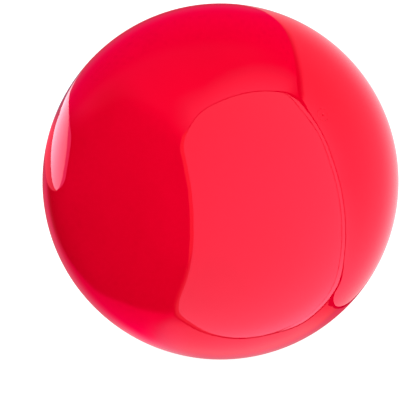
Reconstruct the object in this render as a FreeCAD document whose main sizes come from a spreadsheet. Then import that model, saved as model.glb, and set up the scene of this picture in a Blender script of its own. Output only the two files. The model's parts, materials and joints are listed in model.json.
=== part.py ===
"""Rhythmic gymnastics ball: a hollow moulded rubber ball with a replaceable needle valve.

Every piece is a solid of revolution about the valve's axis. Each one is drawn upright, with the valve's axis on
local +Z and the ball's centre at the origin, and its Placement then tips the valve to where it lies at rest.
"""

import FreeCAD, Part
import math
import os
import Sketcher
from FreeCAD import Placement, Rotation, Vector

# Driving dimensions, in millimetres and degrees: (alias, value, meaning)
SIZES = [
    ("ball_diameter", 185.0, "outside of the ball, over the lacquer"),
    ("valve_elevation", 30.0, "angle of the valve's axis above the floor, at rest"),
    ("skin_thickness", 0.3, "lacquer skin, base colour and clear coats together"),
    ("shell_wall", 3.0, "rubber wall of both shell halves"),
    ("lap_height", 6.0, "height of the half-lap that joins the shell halves"),
    ("band_width", 16.0, "seam band, on the face bonded to the shell"),
    ("band_thickness", 0.8, "seam band"),
    ("band_feather", 2.0, "how much the seam band narrows at each edge"),
    ("patch_diameter", 36.0, "balance patch, on the face bonded to the shell"),
    ("patch_thickness", 1.85, "balance patch"),
    ("patch_feather", 4.0, "how much the balance patch narrows at its edge"),
    ("flange_diameter", 34.0, "valve housing's flange, on the face bonded to the shell"),
    ("flange_thickness", 1.4, "valve housing's flange"),
    ("flange_feather", 4.0, "how much the flange narrows at its edge"),
    ("spigot_diameter", 10.0, "valve housing's spigot, which fills the shell's valve hole"),
    ("barrel_wall", 2.6, "valve housing's barrel, beside the widest part of the stem"),
    ("barrel_floor", 1.6, "valve housing's barrel, under the core"),
    ("barrel_fillet", 1.5, "root of the barrel"),
    ("barrel_chamfer", 0.8, "inner end of the barrel"),
    ("vent_diameter", 1.6, "air hole through the barrel's floor"),
    ("core_length", 13.0, "valve core, from the ball's surface to its tip"),
    ("core_head_diameter", 6.0, "valve core's flush head"),
    ("core_head_thickness", 1.6, "valve core's flush head"),
    ("core_stem_diameter", 4.6, "valve core's stem, under the head"),
    ("core_tip_diameter", 3.8, "valve core's stem, at its tip"),
    ("core_chamfer", 0.4, "valve core's tip"),
    ("core_clearance", 0.05, "radial gap between the core and what it slides in"),
    ("tip_gap", 0.4, "free length under the core's tip"),
    ("needle_diameter", 1.0, "needle channel, before a needle stretches it"),
    ("needle_depth", 10.0, "needle channel, from the ball's surface"),
    ("mouth_diameter", 1.4, "funnel at the channel's mouth"),
    ("mouth_depth", 0.3, "funnel at the channel's mouth"),
    ("slit_length", 1.8, "self-sealing slit under the channel"),
    ("slit_width", 0.12, "self-sealing slit under the channel"),
]

# Radii and levels that several pieces share, as expressions of the driving dimensions
OUTSIDE = "Sizes.ball_diameter / 2"
SHELL_OUTSIDE = OUTSIDE + " - Sizes.skin_thickness"
SHELL_INSIDE = SHELL_OUTSIDE + " - Sizes.shell_wall"
LAP_SURFACE = SHELL_OUTSIDE + " - Sizes.shell_wall / 2"
SPIGOT_RADIUS = "Sizes.spigot_diameter / 2"
HEAD_RADIUS = "Sizes.core_head_diameter / 2"
HEAD_SEAT_RADIUS = HEAD_RADIUS + " + Sizes.core_clearance"
STEM_RADIUS = "Sizes.core_stem_diameter / 2"
TIP_RADIUS = "Sizes.core_tip_diameter / 2"
NEEDLE_RADIUS = "Sizes.needle_diameter / 2"
BARREL_RADIUS = STEM_RADIUS + " + Sizes.core_clearance + Sizes.barrel_wall"
SHOULDER_LEVEL = OUTSIDE + " - Sizes.core_head_thickness"
TIP_LEVEL = OUTSIDE + " - Sizes.core_length"
CHANNEL_END_LEVEL = OUTSIDE + " - Sizes.needle_depth"
WELL_LEVEL = TIP_LEVEL + " - Sizes.tip_gap"
BARREL_END_LEVEL = WELL_LEVEL + " - Sizes.barrel_floor"

SLIT_OVERRUN = 0.5  # how far the slit's cut runs past the tip and into the channel, so that it joins them
SAME = 1e-4  # lengths this close, in mm, are the same edge or level

doc = FreeCAD.newDocument("gymnastics_ball")
sheet = doc.addObject("Spreadsheet::Sheet", "Sizes")
for row, (alias, value, meaning) in enumerate(SIZES, start=1):
    sheet.set(f"A{row}", alias)
    sheet.set(f"B{row}", str(value))
    sheet.set(f"C{row}", meaning)
    sheet.setAlias(f"B{row}", alias)
doc.recompute()


def size(expression):
    """The value of an expression of the driving dimensions, in millimetres or degrees."""
    return float(sheet.evalExpression(expression))


class Corner:
    """A profile's corner. One that ends an arc gives only x or only y, and the arc settles the other."""

    def __init__(self, x=None, y=None, below=False):
        self.x, self.y, self.below = x, y, below

    def point(self, radius):
        """Where the corner is, on a circle of that radius about the origin if it gives one coordinate."""
        if self.y is None:
            x = size(self.x)
            y = math.sqrt(size(radius) ** 2 - x * x)
            return Vector(x, -y if self.below else y, 0)
        if self.x is None:
            y = size(self.y)
            return Vector(math.sqrt(size(radius) ** 2 - y * y), y, 0)
        return Vector(size(self.x), size(self.y), 0)


def hold_coordinate(sketch, kind, axis, corner, expression):
    """Fixes one coordinate of a corner: on the axis if it is zero, and otherwise by a bound distance."""
    if expression == "0":
        sketch.addConstraint(Sketcher.Constraint("PointOnObject", *corner, axis))
        return
    value = size(expression)
    ends = (-1, 1, *corner) if value > 0 else (*corner, -1, 1)
    index = sketch.addConstraint(Sketcher.Constraint(kind, *ends, abs(value)))
    bound = expression if value > 0 else f"-({expression})"
    sketch.setExpression(f"Constraints[{index}]", bound)


def draw_profile(sketch, corners, arcs):
    """Draws a closed outline through the corners. arcs gives the radius of each side, by the corner that it
    starts from, that is an arc about the ball's centre; the other sides are straight."""
    count = len(corners)
    radius_at = {}
    for start, radius in arcs.items():
        radius_at[start] = radius
        radius_at[(start + 1) % count] = radius
    points = [c.point(radius_at.get(i)) for i, c in enumerate(corners)]
    ends = []
    for i in range(count):
        here, there = points[i], points[(i + 1) % count]
        if i not in arcs:
            side = sketch.addGeometry(Part.LineSegment(here, there), False)
            ends.append(((side, 1), (side, 2)))
            continue
        angles = [math.atan2(p.y, p.x) for p in (here, there)]
        circle = Part.Circle(Vector(0, 0, 0), Vector(0, 0, 1), size(arcs[i]))
        side = sketch.addGeometry(Part.ArcOfCircle(circle, min(angles), max(angles)), False)
        forward = angles[0] < angles[1]
        ends.append(((side, 1), (side, 2)) if forward else ((side, 2), (side, 1)))
        sketch.addConstraint(Sketcher.Constraint("Coincident", side, 3, -1, 1))
        index = sketch.addConstraint(Sketcher.Constraint("Radius", side, size(arcs[i])))
        sketch.setExpression(f"Constraints[{index}]", arcs[i])
    for i, corner in enumerate(corners):
        sketch.addConstraint(Sketcher.Constraint("Coincident", *ends[i - 1][1], *ends[i][0]))
        if corner.x is not None:
            hold_coordinate(sketch, "DistanceX", -2, ends[i][0], corner.x)
        if corner.y is not None:
            hold_coordinate(sketch, "DistanceY", -1, ends[i][0], corner.y)


def origin_plane(body, role):
    """One of the body's own origin planes, such as XZ_Plane."""
    return next(f for f in body.Origin.OriginFeatures if f.Role == role)


def turned_body(name, corners, arcs):
    """A body with one revolution: the outline turned about the valve's axis."""
    body = doc.addObject("PartDesign::Body", name)
    body.Label = name
    sketch = body.newObject("Sketcher::SketchObject", name + "_profile")
    sketch.AttachmentSupport = [(origin_plane(body, "XZ_Plane"), "")]
    sketch.MapMode = "FlatFace"
    draw_profile(sketch, corners, arcs)
    turned = body.newObject("PartDesign::Revolution", name + "_turned")
    turned.Profile = sketch
    turned.ReferenceAxis = (sketch, ["V_Axis"])
    turned.Angle = 360
    doc.recompute()
    return body


def circle_edges(shape, radius, level=None):
    """Names of the shape's full circles of that radius, at that level if one is given."""
    names = []
    for number, edge in enumerate(shape.Edges, start=1):
        if not isinstance(edge.Curve, Part.Circle) or abs(edge.Curve.Radius - radius) > SAME:
            continue
        if level is None or abs(edge.Curve.Center.z - level) < SAME:
            names.append(f"Edge{number}")
    return names


def dress(body, kind, name, size_property, bound_to, edges):
    """Adds a fillet or chamfer to the named edges of the body's last feature."""
    last = body.Tip
    feature = body.newObject(kind, name)
    feature.Base = (last, edges)
    feature.setExpression(size_property, bound_to)
    doc.recompute()


def gloss_skin():
    """The sprayed lacquer: one seamless skin over both shell halves, open only at the valve core's head."""
    corners = [
        Corner(x=HEAD_SEAT_RADIUS),
        Corner(x="0", below=True),
        Corner(x="0", below=True),
        Corner(x=HEAD_SEAT_RADIUS),
    ]
    return turned_body("gloss_skin", corners, {0: OUTSIDE, 2: SHELL_OUTSIDE})


def shell_valve_half():
    """The moulded half with the valve hole. Its outer half-thickness laps over the other half's edge."""
    corners = [
        Corner(x=SPIGOT_RADIUS),
        Corner(y="-Sizes.lap_height / 2"),
        Corner(y="-Sizes.lap_height / 2"),
        Corner(y="Sizes.lap_height / 2"),
        Corner(y="Sizes.lap_height / 2"),
        Corner(x=SPIGOT_RADIUS),
    ]
    arcs = {0: SHELL_OUTSIDE, 2: LAP_SURFACE, 4: SHELL_INSIDE}
    return turned_body("shell_valve_half", corners, arcs)


def shell_plain_half():
    """The moulded half opposite the valve. Its inner half-thickness reaches up inside the other half."""
    corners = [
        Corner(x="0", below=True),
        Corner(y="-Sizes.lap_height / 2"),
        Corner(y="-Sizes.lap_height / 2"),
        Corner(y="Sizes.lap_height / 2"),
        Corner(y="Sizes.lap_height / 2"),
        Corner(x="0", below=True),
    ]
    arcs = {0: SHELL_OUTSIDE, 2: LAP_SURFACE, 4: SHELL_INSIDE}
    return turned_body("shell_plain_half", corners, arcs)


def seam_band():
    """The strip bonded inside, over the joint of the two halves, with feathered edges."""
    bonded_edge = "Sizes.band_width / 2"
    free_edge = bonded_edge + " - Sizes.band_feather"
    corners = [
        Corner(y=f"-({bonded_edge})"),
        Corner(y=bonded_edge),
        Corner(y=free_edge),
        Corner(y=f"-({free_edge})"),
    ]
    arcs = {0: SHELL_INSIDE, 2: SHELL_INSIDE + " - Sizes.band_thickness"}
    return turned_body("seam_band", corners, arcs)


def balance_patch():
    """The disc bonded inside, opposite the valve, whose weight stops the ball from rolling crookedly."""
    bonded_edge = "Sizes.patch_diameter / 2"
    corners = [
        Corner(x="0", below=True),
        Corner(x=bonded_edge, below=True),
        Corner(x=bonded_edge + " - Sizes.patch_feather", below=True),
        Corner(x="0", below=True),
    ]
    arcs = {0: SHELL_INSIDE, 2: SHELL_INSIDE + " - Sizes.patch_thickness"}
    return turned_body("balance_patch", corners, arcs)


def valve_housing():
    """The moulded boss: a spigot in the shell's hole, a flange bonded inside it, and the core's barrel."""
    flange_edge = "Sizes.flange_diameter / 2"
    seat = " + Sizes.core_clearance"
    corners = [
        Corner(x=HEAD_SEAT_RADIUS),
        Corner(x=SPIGOT_RADIUS),
        Corner(x=SPIGOT_RADIUS),
        Corner(x=flange_edge),
        Corner(x=flange_edge + " - Sizes.flange_feather"),
        Corner(x=BARREL_RADIUS),
        Corner(x=BARREL_RADIUS, y=BARREL_END_LEVEL),
        Corner(x="Sizes.vent_diameter / 2", y=BARREL_END_LEVEL),
        Corner(x="Sizes.vent_diameter / 2", y=WELL_LEVEL),
        Corner(x=TIP_RADIUS + seat, y=WELL_LEVEL),
        Corner(x=TIP_RADIUS + seat, y=TIP_LEVEL),
        Corner(x=STEM_RADIUS + seat, y=SHOULDER_LEVEL),
        Corner(x=HEAD_SEAT_RADIUS, y=SHOULDER_LEVEL),
    ]
    arcs = {0: SHELL_OUTSIDE, 2: SHELL_INSIDE, 4: SHELL_INSIDE + " - Sizes.flange_thickness"}
    body = turned_body("valve_housing", corners, arcs)
    end = circle_edges(body.Shape, size(BARREL_RADIUS), size(BARREL_END_LEVEL))
    root = [edge for edge in circle_edges(body.Shape, size(BARREL_RADIUS)) if edge not in end]
    dress(body, "PartDesign::Fillet", "barrel_root", "Radius", "Sizes.barrel_fillet", root)
    end = circle_edges(body.Shape, size(BARREL_RADIUS), size(BARREL_END_LEVEL))
    dress(body, "PartDesign::Chamfer", "barrel_end", "Size", "Sizes.barrel_chamfer", end)
    return body


def valve_core():
    """The replaceable self-sealing core: a flush head, a tapered stem, and a needle channel over a slit."""
    corners = [
        Corner(x="0", y=CHANNEL_END_LEVEL),
        Corner(x=NEEDLE_RADIUS, y=CHANNEL_END_LEVEL),
        Corner(x=NEEDLE_RADIUS, y=OUTSIDE + " - Sizes.mouth_depth"),
        Corner(x="Sizes.mouth_diameter / 2"),
        Corner(x=HEAD_RADIUS),
        Corner(x=HEAD_RADIUS, y=SHOULDER_LEVEL),
        Corner(x=STEM_RADIUS, y=SHOULDER_LEVEL),
        Corner(x=TIP_RADIUS, y=TIP_LEVEL),
        Corner(x="0", y=TIP_LEVEL),
    ]
    body = turned_body("valve_core", corners, {3: OUTSIDE})
    tip = circle_edges(body.Shape, size(TIP_RADIUS), size(TIP_LEVEL))
    dress(body, "PartDesign::Chamfer", "core_tip", "Size", "Sizes.core_chamfer", tip)
    cut_slit(body)
    return body


def cut_slit(body):
    """Cuts the core's closed-up slit, from its tip to the needle channel."""
    sketch = body.newObject("Sketcher::SketchObject", "slit_outline")
    sketch.AttachmentSupport = [(origin_plane(body, "XY_Plane"), "")]
    sketch.MapMode = "FlatFace"
    sketch.setExpression("AttachmentOffset.Base.z", f"{TIP_LEVEL} - {SLIT_OVERRUN}")
    half = {"x": "Sizes.slit_length / 2", "y": "Sizes.slit_width / 2"}
    x, y = size(half["x"]), size(half["y"])
    outline = [Vector(x, y, 0), Vector(-x, y, 0), Vector(-x, -y, 0), Vector(x, -y, 0)]
    for i in range(4):
        sketch.addGeometry(Part.LineSegment(outline[i], outline[(i + 1) % 4]), False)
    for i in range(4):
        sketch.addConstraint(Sketcher.Constraint("Coincident", i, 2, (i + 1) % 4, 1))
        sketch.addConstraint(Sketcher.Constraint("Vertical" if i % 2 else "Horizontal", i))
    hold_coordinate(sketch, "DistanceX", -2, (0, 1), half["x"])
    hold_coordinate(sketch, "DistanceY", -1, (0, 1), half["y"])
    hold_coordinate(sketch, "DistanceX", -2, (2, 1), f"-({half['x']})")
    hold_coordinate(sketch, "DistanceY", -1, (2, 1), f"-({half['y']})")
    doc.recompute()
    before = body.Shape.Volume
    slit = body.newObject("PartDesign::Pocket", "slit")
    slit.Profile = sketch
    slit.Reversed = True
    slit.setExpression("Length", f"Sizes.core_length - Sizes.needle_depth + 2 * {SLIT_OVERRUN}")
    doc.recompute()
    if body.Shape.Volume > before - SAME:
        raise RuntimeError("the slit cuts nothing from the valve core")


def tip_to_rest(body):
    """Tips the upright piece about the ball's centre, so that the valve's axis leans from +Z towards +X."""
    body.Placement = Placement(Vector(0, 0, 0), Rotation(Vector(0, 1, 0), size("90 - Sizes.valve_elevation")))
    body.setExpression("Placement.Rotation.Angle", "(90 - Sizes.valve_elevation) * 1 deg")


def check(bodies):
    """Stops the build if any object failed, or if any piece isn't one valid closed solid."""
    for item in doc.Objects:
        if "Invalid" in item.State or "Error" in item.State:
            raise RuntimeError(f"{item.Label} failed: {item.State}")
    for body in bodies:
        shape = body.Shape
        if shape.isNull() or not shape.isValid() or len(shape.Solids) != 1 or not shape.isClosed():
            raise RuntimeError(f"{body.Label} is not one valid closed solid")


PIECES = [
    gloss_skin,
    shell_valve_half,
    shell_plain_half,
    seam_band,
    balance_patch,
    valve_housing,
    valve_core,
]

bodies = [make() for make in PIECES]
for body in bodies:
    tip_to_rest(body)
doc.recompute()
check(bodies)
os.makedirs("parts", exist_ok=True)
for body in bodies:
    body.Shape.exportStep(f"parts/{body.Label}.step")
    print(f"{body.Label:18s} {body.Shape.Volume:12.2f} mm3")
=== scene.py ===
import json
import math

import bmesh
import bpy
import numpy as np
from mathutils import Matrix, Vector

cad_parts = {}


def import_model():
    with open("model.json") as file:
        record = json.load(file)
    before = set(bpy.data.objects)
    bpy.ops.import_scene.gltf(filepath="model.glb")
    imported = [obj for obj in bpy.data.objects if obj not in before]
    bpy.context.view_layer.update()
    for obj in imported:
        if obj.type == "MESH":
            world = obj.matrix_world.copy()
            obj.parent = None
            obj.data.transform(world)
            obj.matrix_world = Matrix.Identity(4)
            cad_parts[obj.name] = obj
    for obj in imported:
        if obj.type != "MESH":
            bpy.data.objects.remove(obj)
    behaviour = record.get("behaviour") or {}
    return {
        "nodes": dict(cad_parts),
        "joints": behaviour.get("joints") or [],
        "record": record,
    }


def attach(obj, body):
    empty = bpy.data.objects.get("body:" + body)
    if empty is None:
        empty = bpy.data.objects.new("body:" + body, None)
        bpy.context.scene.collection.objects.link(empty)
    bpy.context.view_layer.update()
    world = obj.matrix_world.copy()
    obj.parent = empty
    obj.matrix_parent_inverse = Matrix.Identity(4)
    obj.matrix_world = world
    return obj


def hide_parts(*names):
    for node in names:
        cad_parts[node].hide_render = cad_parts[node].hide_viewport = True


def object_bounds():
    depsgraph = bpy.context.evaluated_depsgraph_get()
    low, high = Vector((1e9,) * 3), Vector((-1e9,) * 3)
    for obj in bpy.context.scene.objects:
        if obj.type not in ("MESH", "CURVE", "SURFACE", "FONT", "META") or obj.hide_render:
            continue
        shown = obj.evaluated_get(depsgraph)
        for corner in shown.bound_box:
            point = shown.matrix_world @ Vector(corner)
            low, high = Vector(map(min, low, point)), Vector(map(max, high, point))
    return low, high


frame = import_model()
cad_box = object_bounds()

# The ball, in metres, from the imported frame. Its radius is the least that any side of the CAD box gives.
MM = 0.001
MOUNTS = {mount["name"]: mount for mount in frame["record"]["mounts"]}
RADIUS = min(abs(side) for corner in cad_box for side in corner)
VALVE_AXIS = Vector(frame["joints"][0]["axis"]).normalized()
NEEDLE_RADIUS = MOUNTS["needle_port"]["dims"]["r_mm"] * MM


def lowest_level(node):
    """Lowest level of a CAD node's vertices along the valve's axis."""
    return min(v.co.dot(VALVE_AXIS) for v in frame["nodes"][node].data.vertices)


def radius_range(node, above):
    """Least and greatest distance from the valve's axis of a CAD node's vertices above a level."""
    near = [v.co for v in frame["nodes"][node].data.vertices if v.co.dot(VALVE_AXIS) > above]
    spread = [(co - VALVE_AXIS * co.dot(VALVE_AXIS)).length for co in near]
    return min(spread), max(spread)


SKIN_THICKNESS = 0.3 * MM
SKIN_HOLE = radius_range("gloss_skin", 0)[0]
LIP_ROUND = 0.05 * MM
MOULD_RIPPLE = 0.012 * MM

CORE_TIP = lowest_level("valve_core")
CORE_HEAD = radius_range("valve_core", 0)[1]
CORE_SHOULDER = RADIUS - 1.6 * MM
CORE_STEM = 2.3 * MM
CORE_TIP_RADIUS = 1.9 * MM
CORE_CHAMFER = 0.4 * MM
MOUTH_RADIUS = 0.7 * MM
MOUTH_DEPTH = 0.3 * MM
CHANNEL_RADIUS = 0.5 * NEEDLE_RADIUS  # the rubber closes in when no needle is in it
CHANNEL_END = RADIUS - 10.0 * MM

# How finely the turned pieces are drawn
ON_AXIS = 1e-9  # a profile point nearer to the axis than this is a pole
LIP_SETBACK = 1.5 * LIP_ROUND  # how far from a rounded lip the sphere's own points begin or end
BESIDE_LIP = 1.0 * MM  # how far out the point lies that gives the surface's direction at its lip
SKIN_SEGMENTS = 192
SKIN_INNER_POINTS = 60
SKIN_OUTER_POINTS = 150
SKIN_CROWD = 1.35
CORE_SEGMENTS = 96
CORE_HEAD_POINTS = 10

# Colours, as red, green and blue
LACQUER_DEEP = (0.80, 0.0, 0.0175)
LACQUER_BRIGHT = (0.86, 0.0, 0.0210)
VALVE_HALF_RUBBER = (0.42, 0.03, 0.035)
PLAIN_HALF_RUBBER = (0.40, 0.028, 0.033)
SEAM_RUBBER = (0.050, 0.045, 0.042)
PATCH_RUBBER = (0.060, 0.055, 0.050)
VALVE_RUBBER = (0.035, 0.033, 0.032)
FLOOR_DARK = (0.30, 0.30, 0.30)
FLOOR_PALE = (0.34, 0.34, 0.34)
WHITE = (1, 1, 1, 1)

# The camera: angles in degrees, lens and sensor in millimetres
CAMERA_AZIMUTH = 54.0
CAMERA_ELEVATION = 12.8
CAMERA_DISTANCE = 6.314 * RADIUS
CAMERA_LENS = 100.0
SENSOR_WIDTH = 36.0
BALL_RIGHT = 0.0513  # how far the ball's centre stands right of the picture's, as a share of its width
BALL_UP = 0.0463

# The studio round the ball: distances from its centre in metres, and how finely each part is drawn
CARD_DISTANCE = 3.0
DRAPE_DISTANCE = 3.4
DRAPE_DIVISIONS = 6
TENT_DISTANCE = 3.9
TENT_DIVISIONS = 5
CLOCK_STEP = 2  # degrees between the entries of a table joined from others
FLOOR_RADIUS = 3.8
FLOOR_SEGMENTS = 96
BACKDROP_STRENGTH = 1.05


def view_axes():
    """Unit vectors to the camera's right, up, and from the ball back to the camera."""
    azimuth, elevation = math.radians(CAMERA_AZIMUTH), math.radians(CAMERA_ELEVATION)
    flat = math.cos(elevation)
    back = Vector((math.sin(azimuth) * flat, -math.cos(azimuth) * flat, math.sin(elevation)))
    right = Vector((0, 0, 1)).cross(back).normalized()
    return right, back.cross(right), back


RIGHT, UP, BACK = view_axes()


# ---------------------------------------------------------------- materials


class Nodes:
    """A short way to write one material's node tree."""

    def __init__(self, name):
        self.material = bpy.data.materials.new(name)
        self.material.use_nodes = True
        self.tree = self.material.node_tree
        self.shader = self.tree.nodes["Principled BSDF"]

    def add(self, kind, **settings):
        """A new node, with each setting put on its attribute or input of that name."""
        node = self.tree.nodes.new(kind)
        for key, value in settings.items():
            if hasattr(node, key):
                setattr(node, key, value)
            else:
                node.inputs[key].default_value = value
        return node

    def link(self, source, output, target, socket):
        self.tree.links.new(source.outputs[output], target.inputs[socket])

    def noise(self, scale, detail=2.0, roughness=0.5):
        """Noise in the object's own coordinates, scale in cells per metre."""
        place = self.add("ShaderNodeTexCoord")
        noise = self.add("ShaderNodeTexNoise", Scale=scale, Detail=detail, Roughness=roughness)
        self.link(place, "Object", noise, "Vector")
        return noise

    def ramp(self, source, output, stops):
        """A colour ramp over a source, from (position, colour) stops."""
        ramp = self.add("ShaderNodeValToRGB")
        elements = ramp.color_ramp.elements
        while len(elements) < len(stops):
            elements.new(0.5)
        for element, (position, color) in zip(elements, stops):
            element.position = position
            element.color = (*color, 1.0)
        self.link(source, output, ramp, "Fac")
        return ramp

    def spread(self, source, output, low, high):
        """Maps a 0 to 1 source to the range low to high."""
        spread = self.add("ShaderNodeMapRange")
        spread.inputs["To Min"].default_value = low
        spread.inputs["To Max"].default_value = high
        self.link(source, output, spread, "Value")
        return spread

    def bump(self, source, output, height, previous=None):
        """Bump of that height, in metres, added to a previous bump if there is one."""
        bump = self.add("ShaderNodeBump", Strength=1.0, Distance=height)
        self.link(source, output, bump, "Height")
        if previous is not None:
            self.link(previous, "Normal", bump, "Normal")
        return bump


def lacquer(name):
    """High-gloss red lacquer: a mirror gloss, with faint pigment drift, orange peel and handling haze."""
    n = Nodes(name)
    pigment = n.noise(scale=18.0, detail=3.0)
    color = n.ramp(pigment, "Fac", [(0.35, LACQUER_DEEP), (0.65, LACQUER_BRIGHT)])
    n.link(color, "Color", n.shader, "Base Color")
    haze = n.noise(scale=60.0, detail=6.0, roughness=0.6)
    rough = n.spread(haze, "Fac", low=0.012, high=0.035)
    n.link(rough, "Result", n.shader, "Roughness")
    peel = n.bump(n.noise(scale=420.0, detail=1.0), "Fac", height=0.0012 * MM)
    n.link(peel, "Normal", n.shader, "Normal")
    n.shader.inputs["IOR"].default_value = 1.5
    return n.material


def moulded_rubber(name, color, rough=(0.55, 0.75), grain=0.03 * MM):
    """Moulded rubber: uneven pigment, a fine matt grain, and pale dusting left from the mould."""
    n = Nodes(name)
    dust_gain, dust_lift = 1.35, 0.02
    dusty = tuple(min(1.0, c * dust_gain + dust_lift) for c in color)
    drift = n.noise(scale=90.0, detail=5.0, roughness=0.6)
    tint = n.ramp(drift, "Fac", [(0.40, color), (0.72, dusty)])
    n.link(tint, "Color", n.shader, "Base Color")
    rub = n.spread(n.noise(scale=260.0, detail=3.0), "Fac", *rough)
    n.link(rub, "Result", n.shader, "Roughness")
    coarse = n.bump(n.noise(scale=700.0, detail=4.0), "Fac", height=grain)
    fine = n.bump(n.noise(scale=3200.0, detail=2.0), "Fac", height=0.3 * grain, previous=coarse)
    n.link(fine, "Normal", n.shader, "Normal")
    return n.material


def card_light(name):
    """Light whose colour and strength are the mesh's own glow attribute."""
    n = Nodes(name)
    n.tree.nodes.remove(n.shader)
    light = n.add("ShaderNodeEmission", Strength=1.0)
    glow = n.add("ShaderNodeAttribute", attribute_name="glow")
    n.link(glow, "Color", light, "Color")
    n.link(light, "Emission", n.tree.nodes["Material Output"], "Surface")
    n.material.cycles.emission_sampling = "NONE"
    return n.material


def pale_floor(name):
    """A pale studio floor with a soft mottle, lit up almost to white."""
    n = Nodes(name)
    mottle = n.ramp(n.noise(scale=3.0, detail=3.0), "Fac", [(0.3, FLOOR_DARK), (0.7, FLOOR_PALE)])
    n.link(mottle, "Color", n.shader, "Base Color")
    n.shader.inputs["Roughness"].default_value = 0.6
    n.shader.inputs["Specular IOR Level"].default_value = 0.0
    n.shader.inputs["Emission Color"].default_value = WHITE
    n.shader.inputs["Emission Strength"].default_value = 1.0
    return n.material


# ---------------------------------------------------------------- meshes


def new_object(name, mesh, material):
    """Links a mesh into the scene with one material and smooth faces."""
    mesh.materials.append(material)
    mesh.shade_smooth()
    obj = bpy.data.objects.new(name, mesh)
    bpy.context.scene.collection.objects.link(obj)
    return obj


def turned_mesh(name, profile, segments):
    """Turns a closed profile of (radius, level) about the valve's axis. Points on the axis become poles."""
    to_valve = Vector((0, 0, 1)).rotation_difference(VALVE_AXIS).to_matrix().to_4x4()
    shape = bmesh.new()
    rings = []
    for radius, level in profile:
        if radius < ON_AXIS:
            rings.append([shape.verts.new((0, 0, level))])
            continue
        turn = [2 * math.pi * i / segments for i in range(segments)]
        ring = [(radius * math.cos(a), radius * math.sin(a), level) for a in turn]
        rings.append([shape.verts.new(place) for place in ring])
    closed = len(rings[0]) > 1 and len(rings[-1]) > 1
    pairs = list(zip(rings, rings[1:])) + ([(rings[-1], rings[0])] if closed else [])
    for lower, upper in pairs:
        for i in range(segments):
            j = (i + 1) % segments
            below = [lower[k % len(lower)] for k in (i, j)]
            above = [upper[k % len(upper)] for k in (j, i)]
            face = list(dict.fromkeys(below + above))
            if len(face) > 2:
                shape.faces.new(face)
    bmesh.ops.transform(shape, matrix=to_valve, verts=shape.verts)
    bmesh.ops.recalc_face_normals(shape, faces=shape.faces)
    mesh = bpy.data.meshes.new(name)
    shape.to_mesh(mesh)
    shape.free()
    return mesh


def arc(radius, start, end, count, crowd=1.0):
    """Profile points on a circle about the ball's centre, between two angles from the valve's axis. A crowd
    over 1 packs them towards the start."""
    shares = [(i / (count - 1)) ** crowd for i in range(count)]
    angles = [start + (end - start) * share for share in shares]
    return [(radius * math.sin(a) if a < math.pi else 0.0, radius * math.cos(a)) for a in angles]


def rounded(corner, before, after, size, count=4):
    """Points that round a profile's corner off, size being how far back along each side it starts."""
    corner, before, after = Vector(corner), Vector(before), Vector(after)
    start = corner + (before - corner).normalized() * size
    end = corner + (after - corner).normalized() * size
    shares = [i / (count - 1) for i in range(count)]
    return [tuple(start * (1 - t) ** 2 + corner * 2 * t * (1 - t) + end * t ** 2) for t in shares]


def sphere_level(across, radius=RADIUS):
    """Level of the sphere's surface at that distance from the valve's axis."""
    return math.sqrt(radius ** 2 - across ** 2)


def mould_ripple(mesh):
    """Sinks the surface by a few microns in broad soft waves, like those of a moulded and inflated ball."""
    for vertex in mesh.vertices:
        way = vertex.co.normalized()
        # from -2 to 2, with wavelengths that don't repeat together, so that no pattern shows
        wave = math.sin(9 * way.x + 2.1) * math.sin(8 * way.y + 0.7) + math.sin(11 * way.z + 5 * way.x)
        vertex.co -= way * MOULD_RIPPLE * (2 + wave) / 4


def ball_skin():
    """The lacquered surface: one seamless skin with a rounded lip round the valve core's head."""
    inner = RADIUS - SKIN_THICKNESS
    lip_outer = (SKIN_HOLE, sphere_level(SKIN_HOLE))
    lip_inner = (SKIN_HOLE, sphere_level(SKIN_HOLE, inner))
    outer_start = math.asin((SKIN_HOLE + LIP_SETBACK) / RADIUS)
    inner_start = math.asin(SKIN_HOLE / inner)
    beside = (SKIN_HOLE + BESIDE_LIP, sphere_level(SKIN_HOLE + BESIDE_LIP))
    profile = arc(inner, inner_start, math.pi, SKIN_INNER_POINTS)[::-1]
    profile += rounded(lip_outer, lip_inner, beside, LIP_ROUND)
    profile += arc(RADIUS, outer_start, math.pi, SKIN_OUTER_POINTS, SKIN_CROWD)
    mesh = turned_mesh("ball_skin", profile, SKIN_SEGMENTS)
    mould_ripple(mesh)
    skin = new_object("ball_skin", mesh, lacquer("gloss_lacquer"))
    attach(skin, "ball")
    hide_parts("gloss_skin")


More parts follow.
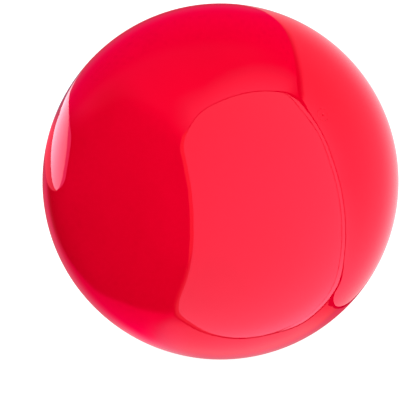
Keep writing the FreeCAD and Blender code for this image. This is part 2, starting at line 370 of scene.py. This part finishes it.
def core_profile():
    """The valve core's outline, from the channel's floor up, over the head and down to the tip."""
    edge = LIP_ROUND
    mouth_floor = (CHANNEL_RADIUS, RADIUS - MOUTH_DEPTH)
    mouth_top = (MOUTH_RADIUS, sphere_level(MOUTH_RADIUS))
    head_inner = (MOUTH_RADIUS + 2 * edge, sphere_level(MOUTH_RADIUS + 2 * edge))
    head_rim = (CORE_HEAD, sphere_level(CORE_HEAD))
    head_side = (CORE_HEAD, CORE_SHOULDER)
    shoulder = (CORE_STEM, CORE_SHOULDER)
    chamfer_top = (CORE_TIP_RADIUS, CORE_TIP + CORE_CHAMFER)
    chamfer_end = (CORE_TIP_RADIUS - CORE_CHAMFER, CORE_TIP)
    start = math.asin(head_inner[0] / RADIUS)
    end = math.asin((CORE_HEAD - LIP_SETBACK) / RADIUS)
    profile = [(0.0, CHANNEL_END), (CHANNEL_RADIUS, CHANNEL_END)]
    profile += rounded(mouth_floor, (CHANNEL_RADIUS, CHANNEL_END), mouth_top, edge)
    profile += rounded(mouth_top, mouth_floor, head_inner, edge)
    profile += arc(RADIUS, start, end, CORE_HEAD_POINTS)
    profile += rounded(head_rim, (0, head_rim[1]), head_side, edge)
    profile += rounded(head_side, head_rim, shoulder, 2 * edge)
    profile += rounded(shoulder, head_side, chamfer_top, 2 * edge)
    profile += rounded(chamfer_top, shoulder, chamfer_end, edge)
    profile += rounded(chamfer_end, chamfer_top, (0, CORE_TIP), edge)
    profile += [(0.5 * CORE_TIP_RADIUS, CORE_TIP), (0.0, CORE_TIP)]
    return profile


def valve_core():
    """The valve core: a flush head with the needle's mouth, and a tapered stem with a chamfered tip."""
    mesh = turned_mesh("valve_core_body", core_profile(), CORE_SEGMENTS)
    core = new_object("valve_core_body", mesh, lacquer("core_gloss"))
    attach(core, "valve_core")
    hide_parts("valve_core")


def finish_inner_pieces():
    """Materials for the CAD pieces inside the ball."""
    looks = {
        "shell_valve_half": moulded_rubber("shell_rubber_valve", VALVE_HALF_RUBBER),
        "shell_plain_half": moulded_rubber("shell_rubber_plain", PLAIN_HALF_RUBBER),
        "seam_band": moulded_rubber("seam_rubber", SEAM_RUBBER),
        "balance_patch": moulded_rubber("patch_rubber", PATCH_RUBBER, grain=0.05 * MM),
        "valve_housing": moulded_rubber("valve_rubber", VALVE_RUBBER, rough=(0.35, 0.5)),
    }
    for node, material in looks.items():
        mesh = frame["nodes"][node].data
        mesh.materials.clear()
        mesh.materials.append(material)


# ---------------------------------------------------------------- studio


def aim(clock, off_axis):
    """The direction from the ball's centre to a light. Clock is where its reflection is seen, anticlockwise
    from the camera's right, and off_axis is how far the reflected ray turns from the line to the camera, both
    in degrees."""
    clock, off_axis = math.radians(clock), math.radians(off_axis)
    off_axis -= RADIUS / CARD_DISTANCE * math.sin(off_axis / 2)  # the ray leaves the surface, not the centre
    across = RIGHT * math.cos(clock) + UP * math.sin(clock)
    return (across * math.sin(off_axis) + BACK * math.cos(off_axis)).normalized()


def smooth_curve(aims, steps=10):
    """A smooth closed curve of directions through the given (clock, off_axis) points."""
    points = [aim(*place) for place in aims]
    count = len(points)
    curve = []
    for i in range(count):
        a, b, c, d = [points[(i + k) % count] for k in (-1, 0, 1, 2)]
        reach = (c - b).length
        leave = (c - a).normalized() * reach
        arrive = (d - b).normalized() * reach
        for step in range(steps):
            t = step / steps
            p = b * (2 * t**3 - 3 * t**2 + 1) + c * (3 * t**2 - 2 * t**3)
            p += leave * (t**3 - 2 * t**2 + t) + arrive * (t**3 - t**2)
            curve.append(p.normalized())
    return curve


def moved_out(curve, degrees, closed=True):
    """The curve moved sideways over the dome, by its own number of degrees at each direction: outwards if it
    runs clockwise as it is seen reflected."""
    count = len(curve)
    moved = []
    for i, here in enumerate(curve):
        before = curve[i - 1] if closed or i else here
        after = curve[(i + 1) % count] if closed or i < count - 1 else here
        side = here.cross(after - before).normalized()
        angle = math.radians(degrees[i])
        moved.append((here * math.cos(angle) + side * math.sin(angle)).normalized())
    return moved


def along(table, value):
    """A value read from a short table of (position, value) pairs, straight between them."""
    return float(np.interp(value, *zip(*sorted(table))))


def combined(join, *tables):
    """One table from several by clock angle, their values joined by sum or max at every CLOCK_STEP."""
    clocks = range(-180, 180 + 1, CLOCK_STEP)
    return [(clock, join(along(table, clock) for table in tables)) for clock in clocks]


def ease(value, start, end):
    """0 before start, 1 after end, and smooth between them."""
    t = min(1.0, max(0.0, (value - start) / (end - start)))
    return t * t * (3 - 2 * t)


def off_axis_of(way):
    """Angle of a direction off the line to the camera, in degrees."""
    return math.degrees(way.angle(BACK))


def clock_of(way):
    """Clock angle of a direction, anticlockwise from the camera's right, in degrees from -180 to 180."""
    return math.degrees(math.atan2(way.dot(UP), way.dot(RIGHT)))


def dome_mesh(name, rows, color, distance, closed):
    """A sheet on the dome through rows of directions. color gives its light by direction and row share."""
    shape = bmesh.new()
    layer = shape.verts.layers.float_color.new("glow")
    grid = []
    for r, row in enumerate(rows):
        verts = []
        for way in row:
            vertex = shape.verts.new(way * distance)
            vertex[layer] = (*color(way, r / (len(rows) - 1)), 1.0)
            verts.append(vertex)
        grid.append(verts)
    for lower, upper in zip(grid, grid[1:]):
        count = len(lower)
        for i in range(count if closed else count - 1):
            shape.faces.new([lower[i], lower[(i + 1) % count], upper[(i + 1) % count], upper[i]])
    mesh = bpy.data.meshes.new(name)
    shape.to_mesh(mesh)
    shape.free()
    return mesh


def ball_mesh(name, color, distance, divisions):
    """A closed dome all round. color gives its light by direction."""
    shape = bmesh.new()
    layer = shape.verts.layers.float_color.new("glow")
    bmesh.ops.create_icosphere(shape, subdivisions=divisions, radius=distance)
    for vertex in shape.verts:
        vertex[layer] = (*color(vertex.co.normalized()), 1.0)
    mesh = bpy.data.meshes.new(name)
    shape.to_mesh(mesh)
    shape.free()
    return mesh


def studio_only(obj, camera=False, diffuse=False, glossy=False):
    """Says which rays see a studio object."""
    obj.visible_camera = camera
    obj.visible_diffuse = diffuse
    obj.visible_glossy = glossy
    obj.visible_transmission = False
    obj.visible_shadow = False


def rings_between(inner, outer, count):
    """Rows of directions that pass from one curve to another of the same length."""
    shares = [i / (count - 1) for i in range(count)]
    return [[(a * (1 - s) + b * s).normalized() for a, b in zip(inner, outer)] for s in shares]


def filled(curve, middle, count=24):
    """Rows that fill a closed curve from its middle."""
    centre = aim(*middle)
    hub = 0.001  # the size of the hole in the middle, as a share
    shares = [hub + (1 - hub) * i / (count - 1) for i in range(count)]
    return [[centre.slerp(way, s) for way in curve] for s in shares]


# Outlines of the lights, as (clock, off_axis) directions in degrees, and a direction in the middle of each
PANEL = [
    (-172, 18), (152, 23), (136, 31), (122, 37), (106, 44), (89, 50), (75, 57), (62, 65), (53, 70),
    (40, 69), (25, 70), (8, 72), (-9, 79), (-22, 88), (-33, 99), (-46, 114), (-58, 120), (-71, 120),
    (-82, 117), (-92, 111), (-101, 102), (-107, 95), (-109, 84), (-109, 63), (-113, 43), (-129, 26),
    (-148, 20),
]
PANEL_MIDDLE = (-40, 55)
WALL = [
    (82, 171), (76, 152), (68, 130), (60, 103), (50, 79), (42, 72), (25, 69), (0, 76), (-22, 91),
    (-42, 114), (-44, 119), (-46, 124), (-47, 131), (-47, 138), (-45, 149), (-42, 157), (-37, 163),
]
WALL_MIDDLE = (15, 125)
STRIP = [
    (141, 160), (146, 155), (149, 152), (153, 149), (156, 148), (161, 147), (166, 144), (170, 141),
    (175, 137), (180, 133), (-177, 126), (180, 119), (175, 116), (169, 116), (164, 119), (159, 124),
    (155, 132), (152, 141), (149, 150), (145, 156),
]
STRIP_BORDER = [
    (140, 169), (150, 172), (160, 170), (169, 162), (175, 153), (180, 145), (-177, 133), (-177, 125),
    (180, 115), (174, 112), (169, 112), (164, 114), (159, 122), (155, 131), (152, 141), (149, 150),
    (145, 156),
]
STRIP_MIDDLE = (167, 131)

# How much nearer than CARD_DISTANCE each card stands, in metres, so that no two share a surface
NEARER = {
    "panel": 0.30, "frame": 0.29, "rim": 0.28, "side": 0.27, "line": 0.26,
    "strip": 0.15, "border": 0.12, "foot": 0.11, "wall": 0.10,
}

# The room's soft lights, by clock angle: where each begins off the axis, how far it reaches, and its strength
PANEL_TOP = [(54, 70), (66, 63), (75, 57), (89, 50), (106, 44), (122, 38), (134, 32)]
CEILING = [(48, 0.0), (55, 0.48), (60, 0.50), (80, 0.52), (100, 0.44), (112, 0.40), (120, 0.22), (132, 0.0)]
CEILING_REACH = [(54, 18), (60, 23), (75, 26), (100, 17), (120, 24)]
HAZE = 0.034
HAZE_START = [(112, 20), (126, 45), (140, 88), (148, 96), (156, 108)]
HAZE_END = [(100, 94), (130, 102), (150, 116), (158, 124)]
FLOOR_EDGE = [
    (-180, 144), (-172, 141), (-156, 135), (-138, 123), (-129, 110), (-113, 96), (-109, 88), (-90, 84),
]
FLOOR = [
    (-118, 0.0), (-114, 0.06), (-110, 0.28), (-104, 0.39), (-90, 0.46), (-75, 0.51), (-60, 0.48),
    (-50, 0.22), (-44, 0.14),
]
FLOOR_DIP = [(-75, 0.33), (-60, 0.45)]
RIM = [
    (-180, 0.10), (-160, 0.15), (-140, 0.18), (-130, 0.20), (-120, 0.34), (-110, 0.26), (-95, 0.0),
    (72, 0.0), (80, 0.07), (90, 0.05), (180, 0.10),
]
ROSE_SIDE = [
    (-180, 0.0), (-160, 0.5), (-140, 0.8), (-124, 1.2), (-116, 1.6), (-108, 0.9), (-100, 0.2),
    (-60, 0.0), (60, 1.0), (125, 1.0), (142, 0.9), (152, 0.9), (157, 0.5), (163, 0.0), (180, 0.0),
]

# Bands over which a light fades in or out, in degrees: of the clock first, then off the axis
HAZE_RIGHT = (60, 80)
HAZE_LEFT = (150, 160)
UPPER_LEFT = (128, 146)
UPPER_LEFT_INNER = (85, 118)
HAZE_FADE = (-6, 6)
FLOOR_WASH = (0, 6)
FLOOR_LIGHT = (6, 22)
FLOOR_DIP_BAND = (134, 150)
RIM_BAND = (134, 156)
EDGE_WASH = (138, 150)
LOW = -40  # below this clock angle the floor is reflected, and above it the room

# The tint of the reflected light, by angle off the axis: the red and blue of the rose wash, and what red and
# blue are added to white light
ROSE = [(60, 3.0), (95, 1.7), (115, 1.3), (135, 1.1), (145, 0.9), (152, 0.55), (180, 0.5)]
RED_FILL = [(0, 4.5), (60, 4.3), (90, 3.6), (120, 2.4), (140, 1.3), (155, 0.6), (180, 0.1)]
RED_FILL_FADE = (0.0, 0.3)  # the strengths of white light between which the red fill comes in
BLUE_SHARE = [(0, 1.6), (120, 1.5), (140, 1.25), (155, 1.12), (180, 1.05)]
ROSE_BLUE = 0.16
ROSE_BLUE_LOSS = 0.7
ROSE_BLUE_FADE = (144, 158)
ROSE_WARMTH_LOW = 1.3
ROSE_WARMTH_HIGH = 1.1

# The softbox: its light, how that grows to the right, downwards and away from the camera, and the widths of
# its edges in degrees, by clock angle
PANEL_STRENGTH = 0.753
PANEL_RIGHT = 0.164
PANEL_DOWN = 0.078
PANEL_AWAY = 0.077
PANEL_LOWER = 0.16  # more near its lower edge
PANEL_LOWER_BAND = (100, 118)
SIDE_SHARE = 1.05  # of the panel's light
FRAME_WIDTH = [
    (-112, 0.0), (-106, 3.6), (-98, 2.7), (-91, 1.6), (-70, 1.2), (-62, 0.2), (-35, 0.4), (45, 0.5),
    (60, 0.6), (120, 0.5), (128, 0.0),
]
SOFTBOX_RIM_WIDTH = [(-180, 2.2), (-112, 2.2), (-106, 0.0), (120, 0.0), (128, 2.2), (180, 2.2)]
SIDE_WIDTH = [
    (-69, 0.0), (-61, 4.2), (-53, 3.3), (-44, 3.1), (-33, 2.2), (-9, 2.4), (25, 2.2), (38, 2.6),
    (45, 2.8), (50, 1.0), (55, 0.0),
]
LINE_WIDTH = [
    (-74, 0.0), (-66, 1.4), (-44, 1.6), (-36, 0.6), (28, 0.6), (38, 1.2), (46, 2.8), (52, 1.6),
    (56, 0.4), (60, 0.0),
]
WARM_RIM = (4.2, 0.24, 0.25)
LOW_LEFT_FRAME = (2.5, 0.22, 0.30)
LOW_LEFT_BAND = (-95, -88)
LOW_LEFT_SHARE = (0.4, 0.9)  # of the frame's width

# The white wall: its light by clock angle, and the width of its shaded foot by angle off the axis
WALL_STRENGTH = 0.42
WALL_FALL = 0.0028  # per degree of clock angle
WALL_NEAR_EDGE = [(-33, 101), (-22, 92), (0, 76), (40, 72)]
WALL_NEAR = 0.28
WALL_NEAR_REACH = 9
WALL_RISE = [
    (-45, 0.1), (-30, 0.5), (-10, 1.0), (20, 1.0), (35, 1.15), (50, 1.0), (60, 0.75), (67, 0.5),
]
WALL_RISE_STRENGTH = 0.34
WALL_RISE_BAND = (117, 153)
WALL_TOP = 42  # the clock angle above which the wall fades in from its near side
WALL_FADE_START = [(42, 66), (46, 75), (50, 81), (56, 92), (60, 101), (70, 127), (80, 142)]
WALL_FADE_REACH = [(48, 5), (56, 9), (64, 14)]
FOOT_WIDTH = [(112, 0.4), (116, 0.7), (120, 2.2), (125, 2.0), (131, 0.8), (140, 0.7), (155, 1.0)]
FOOT_CLOCK = -36  # the foot is the part of the outline below this clock angle
FOOT_START = 112  # and past this angle off the axis
FOOT_SHADE = (0.3, 0.0, 0.04)

# The tent's light, and how it changes with direction
TENT_STRENGTH = 0.92
TENT_RIGHT = 0.20
TENT_UP = 0.10
TENT_BACK = 0.15
TENT_SIDE_LOSS = 0.10
TENT_POLE_GAIN = 0.10
TENT_HIGH_BACK_LOSS = 0.08

# The strip light: its far side off the axis and its strength, by clock angle, and the border round it
STRIP_FAR_SIDE = [(148, 164), (161, 152), (170, 142), (180, 134)]
STRIP_STRENGTH = [
    (145, 0.5), (149, 1.0), (153, 1.4), (158, 1.35), (163, 1.3), (168, 1.17), (173, 1.05), (180, 0.85),
]
STRIP_PEAK = 1.8
STRIP_FALL = 0.033  # per degree from its far side
BORDER_WIDTH = 10
BORDER_RED = [(150, 0.2), (157, 0.4), (164, 1.5)]
FAR_BORDER_GREEN_BLUE = (0.14, 0.24)
NEAR_BORDER = (1.9, 0.21, 0.68)


def tinted(white, way, rose=0.0, warmth=1.0):
    """Light from that direction, as red, green and blue: white light of that strength with a red fill, and a
    rose wash. Warmth is how much red the wash has for its strength."""
    off_axis = off_axis_of(way)
    fill = ease(white, *RED_FILL_FADE) * along(RED_FILL, off_axis)
    red = white + max(fill, rose * warmth * along(ROSE, off_axis))
    rose_blue = ROSE_BLUE * rose * (1 - ROSE_BLUE_LOSS * ease(off_axis, *ROSE_BLUE_FADE))
    blue = white * along(BLUE_SHARE, off_axis) + rose_blue
    return red, white, blue


def drape_light(way):
    """What the ball reflects beyond the cards: a dark room, a glow and a faint haze on the ceiling, the lit
    floor, light round the far rim, and a rose wash high up, low down and at the ball's edge."""
    clock, off_axis = clock_of(way), off_axis_of(way)
    low = clock < LOW
    rise = off_axis - along(PANEL_TOP, clock)
    ceiling = along(CEILING, clock) * max(0.0, 1 - max(0.0, rise) / along(CEILING_REACH, clock))
    haze = HAZE * ease(clock, *HAZE_RIGHT) * (1 - ease(clock, *HAZE_LEFT))
    haze *= ease(off_axis - along(HAZE_START, clock), *HAZE_FADE)
    haze *= 1 - ease(off_axis - along(HAZE_END, clock), *HAZE_FADE)
    inland = off_axis - along(FLOOR_EDGE, clock) if low else -1.0
    dip = along(FLOOR_DIP, clock) * ease(off_axis, *FLOOR_DIP_BAND)
    lit_floor = along(FLOOR, clock) * ease(inland, *FLOOR_LIGHT) * (1 - dip)
    rim = along(RIM, clock) * ease(off_axis, *RIM_BAND)
    if low:
        wash = ease(inland, *FLOOR_WASH)
    else:
        wash = 1 - ease(clock, *UPPER_LEFT) * (1 - ease(off_axis, *UPPER_LEFT_INNER))
    rose = max(along(ROSE_SIDE, clock) * wash, (1 - lit_floor) * ease(off_axis, *EDGE_WASH))
    warmth = ROSE_WARMTH_LOW if low else ROSE_WARMTH_HIGH
    return tinted(max(ceiling, haze) + lit_floor + rim, way, rose, warmth)


def panel_light(way):
    """The softbox's light: stronger to the right and towards its lower edge."""
    lean = PANEL_RIGHT * way.dot(RIGHT) - PANEL_DOWN * way.dot(UP) - PANEL_AWAY * way.dot(BACK)
    return PANEL_STRENGTH + lean + PANEL_LOWER * ease(off_axis_of(way), *PANEL_LOWER_BAND)


def card(name, rows, color, place, closed=True):
    """One card of the studio, which only reflections see. place is its key in NEARER."""
    mesh = dome_mesh(name, rows, color, CARD_DISTANCE - NEARER[place], closed)
    studio_only(new_object(name, mesh, card_light(name)), glossy=True)


def softbox():
    """The big soft panel in front and to the right of the ball: its diffuser, the warm inside of its left
    rim, its dark frame, and the pale outside of its right rim with a dark line beyond it."""
    edge = smooth_curve(PANEL)
    clocks = [clock_of(way) for way in edge]

    def moved(widths):
        return moved_out(edge, [along(widths, clock) for clock in clocks])

    def inside(way, share):
        return tinted(panel_light(way), way)

    def dark(way, share):
        low_left = (1 - ease(clock_of(way), *LOW_LEFT_BAND)) * (1 - ease(share, *LOW_LEFT_SHARE))
        return tuple(low_left * channel for channel in LOW_LEFT_FRAME)

    def warm(way, share):
        return WARM_RIM

    def side(way, share):
        return tinted(SIDE_SHARE * panel_light(way), way)

    frame_edge = moved(FRAME_WIDTH)
    rim_edge = moved(combined(max, FRAME_WIDTH, SOFTBOX_RIM_WIDTH))
    side_edge = moved(combined(sum, FRAME_WIDTH, SIDE_WIDTH))
    line_edge = moved(combined(sum, FRAME_WIDTH, SIDE_WIDTH, LINE_WIDTH))
    card("softbox_panel", filled(edge, PANEL_MIDDLE), inside, "panel")
    card("softbox_frame", rings_between(edge, frame_edge, count=5), dark, "frame")
    card("softbox_rim", rings_between(edge, rim_edge, count=3), warm, "rim")
    card("softbox_side", rings_between(frame_edge, side_edge, count=3), side, "side")
    card("softbox_line", rings_between(side_edge, line_edge, count=2), dark, "line")


def wall_light(way, share):
    """The white wall's light: brightest beside the softbox and at the ball's edge, and fading in high up."""
    clock, off_axis = clock_of(way), off_axis_of(way)
    rise = WALL_RISE_STRENGTH * along(WALL_RISE, clock)
    beyond = max(0.0, off_axis - along(WALL_NEAR_EDGE, clock))
    white = WALL_STRENGTH - WALL_FALL * clock + rise * ease(off_axis, *WALL_RISE_BAND)
    white += WALL_NEAR * math.exp(-beyond / WALL_NEAR_REACH)
    if clock > WALL_TOP:
        start = along(WALL_FADE_START, clock)
        white *= ease(off_axis, start, start + along(WALL_FADE_REACH, clock))
    return tinted(white, way)


def white_wall():
    """The white wall to the right, and the shaded line along its foot."""

    def shade(way, share):
        return FOOT_SHADE

    edge = smooth_curve(WALL)
    foot = [way for way in edge if clock_of(way) < FOOT_CLOCK and off_axis_of(way) > FOOT_START]
    inwards = [-along(FOOT_WIDTH, off_axis_of(way)) for way in foot]
    card("white_wall", filled(edge, WALL_MIDDLE, count=40), wall_light, "wall")
    foot_rows = rings_between(foot, moved_out(foot, inwards, closed=False), count=2)
    card("white_wall_foot", foot_rows, shade, "foot", closed=False)


def rim_strip():
    """The strip light far behind on the left, brightest along its far side, with a warm border outside that
    and a magenta one inside."""

    def light(way, share):
        clock = clock_of(way) % 360
        inset = along(STRIP_FAR_SIDE, clock) - off_axis_of(way)
        return tinted(along(STRIP_STRENGTH, clock) * (STRIP_PEAK - STRIP_FALL * inset), way)

    def border(way, share):
        clock = clock_of(way) % 360
        if off_axis_of(way) > along(STRIP_FAR_SIDE, clock) - BORDER_WIDTH:
            return along(BORDER_RED, clock), *FAR_BORDER_GREEN_BLUE
        return NEAR_BORDER

    card("rim_strip", filled(smooth_curve(STRIP), STRIP_MIDDLE, count=16), light, "strip")
    border_rows = filled(smooth_curve(STRIP_BORDER), STRIP_MIDDLE, count=16)
    card("rim_strip_border", border_rows, border, "border")


def dark_drape():
    """The cloth and floor beyond the cards, which only reflections see."""
    mesh = ball_mesh("dark_drape", drape_light, DRAPE_DISTANCE, DRAPE_DIVISIONS)
    studio_only(new_object("dark_drape", mesh, card_light("dark_drape")), glossy=True)


def tent_light(way):
    """Nearly even light: a little stronger from the camera's side, the right and above, and a little weaker
    far out to both sides."""
    right, up, back = way.dot(RIGHT), way.dot(UP), way.dot(BACK)
    lean = TENT_STRENGTH + TENT_RIGHT * right + TENT_UP * up + TENT_BACK * back
    strength = lean - TENT_SIDE_LOSS * right ** 2 + TENT_POLE_GAIN * up ** 2 - TENT_HIGH_BACK_LOSS * up * back
    return strength, strength, strength


def light_tent():
    """A translucent tent all round, which gives the ball and floor their soft light."""
    mesh = ball_mesh("light_tent", tent_light, TENT_DISTANCE, TENT_DIVISIONS)
    studio_only(new_object("light_tent", mesh, card_light("light_tent")), diffuse=True)


def floor():
    """A plain pale floor under the ball."""
    shape = bmesh.new()
    bmesh.ops.create_circle(shape, cap_ends=True, segments=FLOOR_SEGMENTS, radius=FLOOR_RADIUS)
    bmesh.ops.translate(shape, vec=(0, 0, -RADIUS), verts=shape.verts)
    mesh = bpy.data.meshes.new("floor")
    shape.to_mesh(mesh)
    shape.free()
    studio_only(new_object("floor", mesh, pale_floor("pale_floor")), camera=True)


def studio():
    """The cards, drape, tent and floor."""
    softbox()
    white_wall()
    rim_strip()
    dark_drape()
    light_tent()
    floor()


def world():
    """A white backdrop behind the floor."""
    backdrop = bpy.data.worlds.new("white_backdrop")
    backdrop.use_nodes = True
    paint = backdrop.node_tree.nodes["Background"]
    paint.inputs["Color"].default_value = WHITE
    paint.inputs["Strength"].default_value = BACKDROP_STRENGTH
    bpy.context.scene.world = backdrop


def camera():
    """The camera looks straight at the ball's centre, and its lens is shifted to put the ball a little right
    of and above the picture's middle."""
    lens = bpy.data.cameras.new("camera")
    lens.lens = CAMERA_LENS
    lens.sensor_width = SENSOR_WIDTH
    lens.shift_x = -BALL_RIGHT
    lens.shift_y = -BALL_UP
    obj = bpy.data.objects.new("camera", lens)
    obj.location = BACK * CAMERA_DISTANCE
    obj.rotation_mode = "QUATERNION"
    obj.rotation_quaternion = (-BACK).to_track_quat("-Z", "Y")
    bpy.context.scene.collection.objects.link(obj)
    bpy.context.scene.camera = obj


bpy.context.scene.view_settings.view_transform = "Standard"
ball_skin()
valve_core()
finish_inner_pieces()
studio()
world()
camera()
